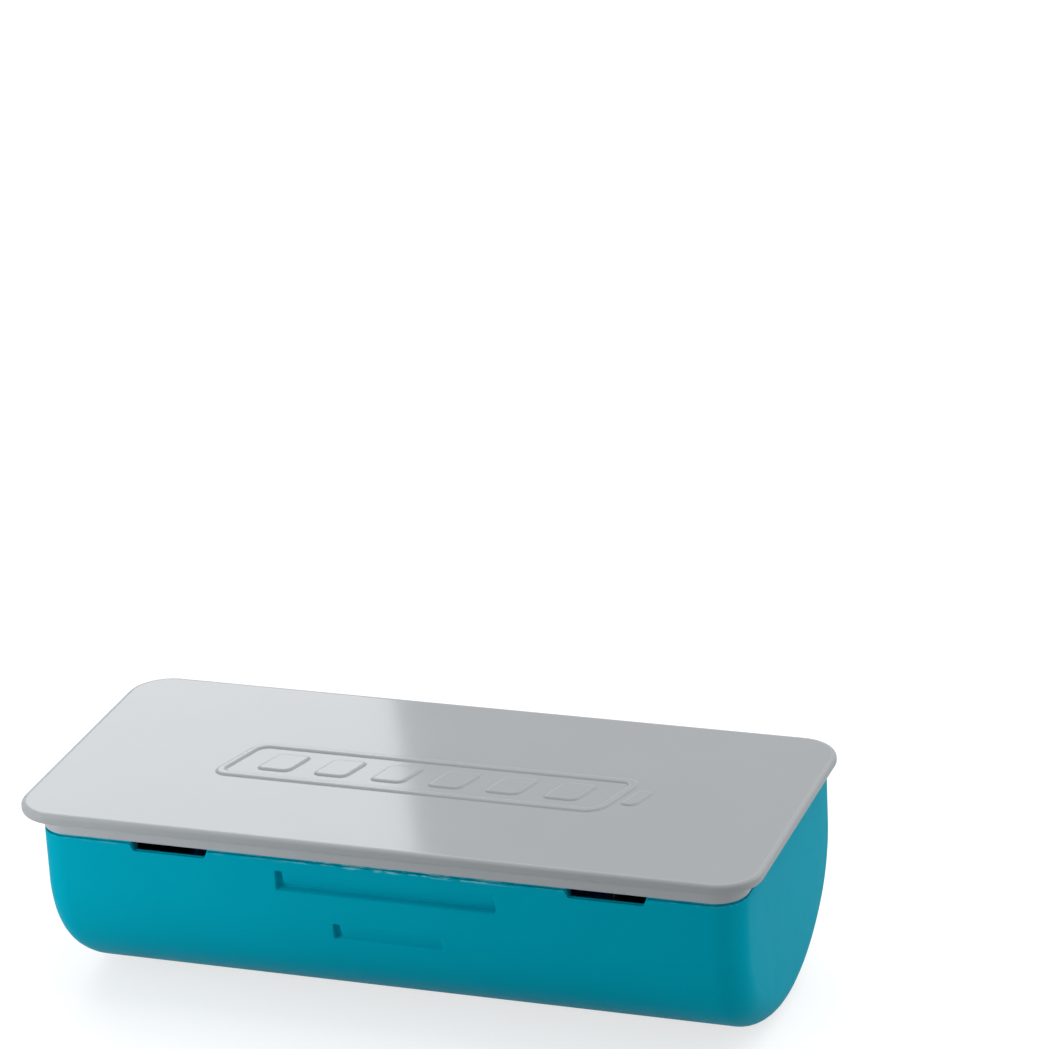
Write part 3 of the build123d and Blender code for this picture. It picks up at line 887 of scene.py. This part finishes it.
lid_low, lid_high = (np.array(corner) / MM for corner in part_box("lid"))
lid_half = (lid_high - lid_low)[:2] / 2
lid_top = lid_high[2]
band_top = lid_top - PLATE

straight_reach = tray_reach - END_ROUND
gap_ends = [(x + side * NOTCH_HALF - tray_x) / straight_reach for x in NOTCH_X for side in (-1, 1)]
long_shares = lines(-1, 1, LOOP_STEP, near(gap_ends, GAP_SHARE, 2))
short_shares = np.linspace(-1, 1, 13)
corner_turns = np.linspace(0, pi / 2, 13)[1:-1]


def rounded_loop(middle_x, half, corner, z):
    """Closed loop of a rounded rectangle at a height: four straight lines and four quarter turns."""
    straight = np.array(half) - corner
    along, across = straight[0] * long_shares, straight[1] * short_shares
    turn_in, turn_out = corner * np.sin(corner_turns), corner * np.cos(corner_turns)
    x = np.concatenate([
        along, straight[0] + turn_in, np.full(len(across), half[0]), straight[0] + turn_out,
        along[::-1], -straight[0] - turn_in, np.full(len(across), -half[0]), -straight[0] - turn_out,
    ])
    y = np.concatenate([
        np.full(len(along), -half[1]), -straight[1] - turn_out, across, straight[1] + turn_in,
        np.full(len(along), half[1]), straight[1] + turn_out, across[::-1], -straight[1] - turn_in,
    ])
    return np.stack([x + middle_x, y, z + 0 * x], -1)


def plate_loop(inset, z):
    """Loop of the plate's outline, taken in by an inset."""
    return rounded_loop(0.0, lid_half - inset, PLATE_CORNER - inset, z)


def band_loop(inset, z):
    """Loop of the tray's rim outline, taken in by an inset."""
    half = np.array([tray_reach, tray_half]) - inset
    return rounded_loop(tray_x, half, max(END_ROUND - inset, CORNER_MIN), z)


def lip_loop(inset, drop):
    """Loop of the lip at a drop below the rim, cut away where the pry notches are."""
    loop = band_loop(inset, rim_z)
    beside = np.abs(np.subtract.outer(loop[:, 0], NOTCH_X)).min(-1) > NOTCH_HALF
    loop[:, 2] -= drop * beside
    return loop


print("points in a loop of the lid:", len(plate_loop(0.0, lid_top)))

# %% [markdown]
# The overhang is wide at the left and narrow at the front. A Bevel modifier has one width for all of it,
# and would overlap where it is narrow. Here the rounds under it take only a share of what room there is.

# %% Under the overhang
UNDER_ROUND = 0.5
UNDER_REACH = 0.55
BAND_FILLET = 0.35
BAND_REACH = 0.45


def under_loops(turns):
    """Loops under the overhang: a convex quarter at the plate's edge, then a concave one into the band.

    Each goes a share of the way from the plate's outline to the band's: the convex one is limited by
    UNDER_REACH of that way, the concave one by BAND_REACH, so a narrow overhang turns into an S.
    """
    plate, band = plate_loop(0.0, 0.0), band_loop(0.0, 0.0)
    way = np.linalg.norm(band - plate, axis=1, keepdims=True)
    inward = (band - plate) / way
    convex, concave = np.minimum(UNDER_ROUND, UNDER_REACH * way), np.minimum(BAND_FILLET, BAND_REACH * way)
    up = np.array([0.0, 0.0, 1.0])
    loops = [
        plate + inward * convex * (1 - cos(t)) + up * (band_top + UNDER_ROUND * (1 - sin(t))) for t in turns
    ]
    return loops + [
        band - inward * concave * (1 - sin(t)) + up * (band_top - BAND_FILLET * (1 - cos(t))) for t in turns
    ]


quarter = np.linspace(0, pi / 2, 7)
print("loops under the overhang:", len(under_loops(quarter)))

# %% [markdown]
# All loops are now stacked in order, from the flat top over the edge and down to the inside. The two flat
# faces that are left, the top and the ceiling inside, are closed by rows that run to their long axis: one
# face with hundreds of corners would shade badly.

# %% The lid
EDGE_ROUND = 0.6
HOLD = 0.35
BAND_FOOT_ROUND = 0.15
LIP_CLEARANCE = 0.15
LIP_WALL = 1.2
LIP_OUTER = WALL + LIP_CLEARANCE
LIP_INNER = LIP_OUTER + LIP_WALL
LIP_DEPTH = 2.4
LIP_ROUND = 0.2


def to_axis(loop, half):
    """Rows from a loop to the long axis inside it, which close a flat face."""
    reach = half[0] - half[1]
    axis = loop * [1, 0, 1]
    middle = (loop[:, 0].max() + loop[:, 0].min()) / 2
    axis[:, 0] = middle + np.clip(loop[:, 0] - middle, -reach, reach)
    shares = np.linspace(0, 1, 5)[:, None, None]
    return loop + shares * (axis - loop)


profile = [plate_loop(EDGE_ROUND + HOLD, lid_top)]
profile += [plate_loop(EDGE_ROUND * (1 - sin(t)), lid_top - EDGE_ROUND * (1 - cos(t))) for t in quarter]
profile += under_loops(quarter)
profile += [band_loop(0.0, rim_z + 2 * BAND_FOOT_ROUND)]
profile += [
    band_loop(BAND_FOOT_ROUND * (1 - cos(t)), rim_z + BAND_FOOT_ROUND * (1 - sin(t))) for t in quarter[::2]
]
profile += [lip_loop(LIP_OUTER, 0.0), lip_loop(LIP_OUTER, LIP_DEPTH - LIP_ROUND)]
profile += [lip_loop(LIP_OUTER + LIP_ROUND, LIP_DEPTH), lip_loop(LIP_INNER, LIP_DEPTH)]
profile += [band_loop(LIP_INNER, band_top)]

lid = Moulding()
lid.add(np.stack(profile), closed=True)
lid.add(to_axis(profile[0], lid_half), closed=True)
lid.add(to_axis(profile[-1], np.array([tray_reach, tray_half])), closed=True)
print("loops in the lid's profile:", len(profile))

# %% [markdown]
# Inside, the lid has two stiffening ribs and four snap hooks, whose barbs sit in the tray's pockets. They
# are plain prisms, sunk a little into the lid so that no gap shows.

# %% Hooks and ribs of the lid
LID_RIB_DEPTH = 1.4
LID_RIB_X = 32.35
LID_RIB_HALF = 0.6
HOOK_WALL = 1.2

hook_face = tray_half - LIP_OUTER
hook_root = rim_z - LIP_DEPTH + SINK
hook_profile = np.array([
    (hook_face - HOOK_WALL, hook_root), (hook_face - HOOK_WALL, HOOK_BOTTOM), (hook_face, HOOK_BOTTOM),
    (hook_face + HOOK_BARB, HOOK_BOTTOM + HOOK_BARB), (hook_face, HOOK_BOTTOM + HOOK_HEIGHT),
    (hook_face, hook_root),
])
for x in HOOK_X:
    for side in (1, -1):
        lid.prism(hook_profile * [side, 1], x - HOOK_HALF, x + HOOK_HALF)
rib_reach = tray_half - LIP_INNER + SINK
for side in (-1, 1):
    x = tray_x + side * LID_RIB_X
    low = (x - LID_RIB_HALF, -rib_reach, band_top - LID_RIB_DEPTH)
    lid.block(low, (x + LID_RIB_HALF, rib_reach, band_top + SINK))
lid.piece("lid_moulding", lid_grey, "lid", "lid")

# %% [markdown]
# The middle of the lid carries a low raised sign, moulded with it and of the same colour. Its shapes are
# polygons with rounded corners. Curve objects could draw them, but as arrays of points their outlines can
# be taken in step by step, which gives the raised edge.

# %% Rounded outlines
def rounded_polygon(corners, radius, turns=7):
    """Outline of a convex polygon, corner by corner, with each corner replaced by a tangent arc."""
    corners = np.asarray(corners, float)
    before, after = np.roll(corners, 1, 0) - corners, np.roll(corners, -1, 0) - corners
    before /= np.linalg.norm(before, axis=1, keepdims=True)
    after /= np.linalg.norm(after, axis=1, keepdims=True)
    half = np.arccos((before * after).sum(1)) / 2
    bisector = (before + after) / np.linalg.norm(before + after, axis=1, keepdims=True)
    centre = corners + bisector * (radius / np.sin(half))[:, None]
    share = np.linspace(-1, 1, turns)[None, :] * (pi / 2 - half)[:, None]
    side = after - (after * bisector).sum(1, keepdims=True) * bisector
    side /= np.linalg.norm(side, axis=1, keepdims=True)
    arc = -np.cos(share)[..., None] * bisector[:, None] + np.sin(share)[..., None] * side[:, None]
    return (centre[:, None] + radius * arc).reshape(-1, 2)


def taken_in(outline, inset):
    """Closed outline moved to its inside by an inset, along the normals at its points."""
    along = np.roll(outline, -1, 0) - np.roll(outline, 1, 0)
    normal = np.stack([-along[:, 1], along[:, 0]], -1)
    return outline + inset * normal / np.linalg.norm(along, axis=1, keepdims=True)


def box_corners(middle, half):
    """Corners of a rectangle, anticlockwise."""
    return np.asarray(middle) + np.array([(-1, -1), (1, -1), (1, 1), (-1, 1)]) * half


print("a rounded box:", len(rounded_polygon(box_corners((0, 0), (1, 1)), 0.2)), "points")

# %% [markdown]
# The sign is a plain battery pictogram: an outline with a terminal, and slanted charge bars inside it. Its
# loops rise in a curve, steepest at the foot and level at the top, so the light fades over each edge.

# %% The raised sign
SIGN_MIDDLE = (-0.3, -0.75)
SIGN_HEIGHT = 0.25
SIGN_EDGE = 0.5
SIGN_FLAT = 0.08
SIGN_SINK = 0.05
SIGN_LEAN = 0.30
OUTLINE_HALF = np.array([29.6, 5.9])
OUTLINE_STROKE = 1.5
OUTLINE_CORNER, OUTLINE_INNER_CORNER, OUTLINE_TURNS = 2.6, 1.2, 13
TERMINAL_X, TERMINAL_HALF, TERMINAL_CORNER = 31.65, (1.3, 2.6), 1.1
BAR_COUNT = 6
BAR_PITCH = 8.7
BAR_HALF, BAR_CORNER = np.array([2.7, 2.9]), 1.2


def leaning(points):
    """Points slanted to the right as they go up the sign, and moved to its middle."""
    return points @ np.array([[1, 0], [SIGN_LEAN, 1]]) + SIGN_MIDDLE


def at_height(outline, height):
    """Outline as points at a height above the lid's top."""
    return np.column_stack([outline, np.full(len(outline), lid_top + height)])


def rise(outline):
    """Loops up a raised edge: a sunk foot, a curve h(2t - t²) to the height h, some of the flat top."""
    share = np.linspace(0, 1, 7)
    insets = np.concatenate([[0.0], SIGN_EDGE * share, [SIGN_EDGE + SIGN_FLAT]])
    heights = np.concatenate([[-SIGN_SINK], SIGN_HEIGHT * (2 * share - share ** 2), [SIGN_HEIGHT]])
    return [at_height(taken_in(outline, i), h) for i, h in zip(insets, heights)]


def raised_pad(sign, corners, radius):
    """Raised shape with a flat top inside a rounded polygon."""
    loops = rise(leaning(rounded_polygon(corners, radius)))
    sign.add(np.stack(loops), closed=True)
    sign.lid_over(loops[-1])
    sign.lid_over(loops[0])


sign = Moulding()
hole_half = OUTLINE_HALF - OUTLINE_STROKE
outline, hole = (
    leaning(rounded_polygon(box_corners((0, 0), half), corner, OUTLINE_TURNS))
    for half, corner in ((OUTLINE_HALF, OUTLINE_CORNER), (hole_half, OUTLINE_INNER_CORNER))
)
outer_loops = rise(outline)
inner_loops = [loop[::-1] for loop in rise(hole[::-1])]
sign.add(np.stack(outer_loops + inner_loops[::-1] + outer_loops[:1]), closed=True)
raised_pad(sign, box_corners((TERMINAL_X, 0), TERMINAL_HALF), TERMINAL_CORNER)
for bar in range(BAR_COUNT):
    bar_x = (bar - (BAR_COUNT - 1) / 2) * BAR_PITCH
    raised_pad(sign, box_corners((bar_x, 0), BAR_HALF), BAR_CORNER)
sign.piece("raised_sign", lid_grey, "lid")

# %% [markdown]
# The pieces inside keep their solids and get finishes of their own. The cells are steel cans in blue
# shrink film, which is smooth along the can and puckers where it turns over the ends. The leads, the chip
# packages and the contact block are plain plastics, which the casing's own function already makes.

# %% Film and small plastics
FILM_EVEN = 24.0
FILM_END = 33.0
FILM_SCALE = (0.06, 1.0, 1.0)
FILM_STREAK_MM = 0.8
FILM_TINTS = (0.93, 1.07)
LEAD_SKIN = ((0.25, 0.004), (2.5, 0.006))
LEADS = {
    "lead_red": ((0.46, 0.014, 0.012), 0.32),
    "lead_white": ((0.68, 0.67, 0.64), 0.34),
    "lead_black": ((0.018, 0.018, 0.019), 0.34),
}


def shrink_film(name, colour):
    """Shrink film: lengthwise streaks in its gloss, with fine puckers that grow towards the can's ends."""
    material, start = new_finish(name)
    point = piece_point(start)
    streak = noise(drawn_out(point, FILM_SCALE), FILM_STREAK_MM)
    from_middle = start.math("ABSOLUTE", part_of(point, "X") - tray_x * MM, 0.0)
    pucker = from_middle.between(FILM_EVEN * MM, FILM_END * MM)
    return finished(material, start, {
        "Base Color": two_tints(streak, colour, FILM_TINTS), "Roughness": 0.22 + 0.16 * streak,
        "Normal": relief(start, (0.02 + 0.10 * pucker) * MM * streak), "IOR": 1.53,
    })


finishes = {
    "cell_wrap": shrink_film("film_blue", (0.035, 0.13, 0.42)),
    "package": moulded_plastic(
        "epoxy_black", (0.022, 0.022, 0.024), 0.52, (0.12, 0.006), (3.0, 0.004), specular=0.4,
    ),
    "capacitor": moulded_plastic("ceramic_tan", (0.36, 0.23, 0.12), 0.40, (0.08, 0.003), (1.0, 0.004)),
    "fuse": moulded_plastic("fuse_cream", (0.52, 0.46, 0.34), 0.38, (0.15, 0.004), (2.0, 0.004)),
    "block": moulded_plastic("block_black", (0.026, 0.026, 0.029), 0.36, (0.20, 0.005), (5.0, 0.006)),
}
for name, (colour, gloss) in LEADS.items():
    finishes[name] = moulded_plastic(name, colour, gloss, *LEAD_SKIN)
print("plastics:", len(finishes))

# %% [markdown]
# The metals are rolled strip and plated parts. Rolling leaves fine parallel scratches, so a noise is drawn
# out along the strip, and its brightness drives the roughness and a very shallow bump.

# %% Metals
METAL_TINTS = (0.90, 1.06)
DULL_MM = 4.0
MARK_DEPTH = 0.003


def plated_metal(name, colour, roughness, grain_mm, scale):
    """Plated sheet: metallic, with a noise stretched along one axis as rolling marks, and dull patches."""
    material, start = new_finish(name)
    point = piece_point(start)
    marks = noise(drawn_out(point, scale), grain_mm, 3.0)
    dull = noise(point, DULL_MM, 3.0)
    return finished(material, start, {
        "Base Color": two_tints(dull, colour, METAL_TINTS), "Metallic": 1.0,
        "Roughness": roughness + 0.12 * (marks - 0.5) + 0.10 * (dull - 0.5),
        "Normal": relief(start, MARK_DEPTH * MM * marks),
    })


finishes["steel"] = plated_metal("steel_plated", (0.58, 0.57, 0.55), 0.30, 0.20, (1.0, 1.0, 1.0))
finishes["nickel"] = plated_metal("nickel_strip", (0.56, 0.54, 0.49), 0.32, 0.15, (1.0, 0.08, 1.0))
finishes["contact"] = plated_metal("contact_gold", (0.74, 0.52, 0.20), 0.24, 0.12, (1.0, 0.10, 1.0))
print("finishes:", len(finishes))

# %% [markdown]
# The board is green lacquer over copper, whose fields show through as lighter areas with dark gaps between
# them. Drawing each track would take a plan of the circuit. A cell pattern's distance to the nearest
# border gives such fields at once.

# %% Board
FIELD_MM = 3.2
FIELD_GAP = (0.05, 0.09)
LACQUER_TINTS = (0.62, 1.35)
COPPER_HEIGHT = 0.03
LACQUER_GRAIN = (0.2, 0.004)


def board_lacquer(name, colour):
    """Lacquer over copper: the fields inside the borders of a cell pattern are lighter and raised."""
    material, start = new_finish(name)
    point = piece_point(start)
    gap = start.make("ShaderNodeTexVoronoi", {"feature": "DISTANCE_TO_EDGE"}, {
        "Vector": point, "Scale": 1.0 / (FIELD_MM * MM), "Randomness": 0.75,
    })
    copper = gap.between(*FIELD_GAP)
    speck = noise(point, LACQUER_GRAIN[0])
    height = COPPER_HEIGHT * MM * copper + LACQUER_GRAIN[1] * MM * speck
    return finished(material, start, {
        "Base Color": two_tints(0.75 * copper + 0.25 * speck, colour, LACQUER_TINTS),
        "Roughness": 0.26 + 0.14 * speck, "Normal": relief(start, height), "Coat Roughness": 0.08,
        "Coat Weight": 0.3,
    })


finishes["board"] = board_lacquer("board_green", (0.010, 0.105, 0.040))
print("board:", finishes["board"].name)

# %% [markdown]
# Two soft finishes are left. The insulating paper has long fibres that cross, so two noises are drawn out
# across each other. The foam has closed pores: small round cells in its bump, with painted shade in each
# pore.

# %% Paper and foam
FIBRE_SCALES = ((0.12, 1.0, 1.0), (1.0, 0.12, 0.6))
FIBRE_MM = 0.25
FIBRE_LEVELS = (0.3, 0.7)
FIBRE_TINTS = (0.86, 1.10)
FIBRE_HEIGHT = 0.03
PORE_MM = 0.45
PORE_LEVELS = (0.1, 0.6)
PORE_SHADE_TINTS = (0.45, 1.25)
PORE_DEPTH = 0.12


def fibre_paper(name, colour):
    """Pressed paper: two noises drawn out across each other as fibres, in its colour and its bump."""
    material, start = new_finish(name)
    point = piece_point(start)
    along, across = (noise(drawn_out(point, scale), FIBRE_MM, 3.0) for scale in FIBRE_SCALES)
    fibre = 0.5 * along + 0.5 * across
    return finished(material, start, {
        "Base Color": two_tints(fibre.between(*FIBRE_LEVELS), colour, FIBRE_TINTS),
        "Roughness": 0.78 + 0.12 * fibre, "Normal": relief(start, FIBRE_HEIGHT * MM * fibre),
        "Specular IOR Level": 0.3,
    })


def closed_foam(name, colour):
    """Foam: round cells as dimples, with painted shade that darkens the bottom of each pore."""
    material, start = new_finish(name)
    cells = {"Vector": piece_point(start), "Scale": 1.0 / (PORE_MM * MM)}
    pore = start.make("ShaderNodeTexVoronoi", None, cells).between(*PORE_LEVELS)
    # Painted shade: the colour is darkest where each pore's dimple is deepest.
    return finished(material, start, {
        "Base Color": two_tints(pore, colour, PORE_SHADE_TINTS), "Roughness": 0.85 - 0.1 * pore,
        "Normal": relief(start, PORE_DEPTH * MM * pore), "Specular IOR Level": 0.25,
    })


finishes["paper"] = fibre_paper("paper_tan", (0.56, 0.47, 0.28))
finishes["foam"] = closed_foam("foam_black", (0.040, 0.040, 0.042))
finishes["tray"] = tray_teal
finishes["lid"] = lid_grey
print("finishes:", len(finishes))

# %% [markdown]
# Each solid inside belongs to a slot, such as the cells' film or the nickel, and takes that slot's finish.
# The slots come from the part's own list, so no node is forgotten.

# %% Dress the nodes
for row in frame["record"]["subparts"]:
    node = frame["nodes"][row["node"]]
    node.data.materials.clear()
    node.data.materials.append(finishes[row["material_slot"]])

# %% [markdown]
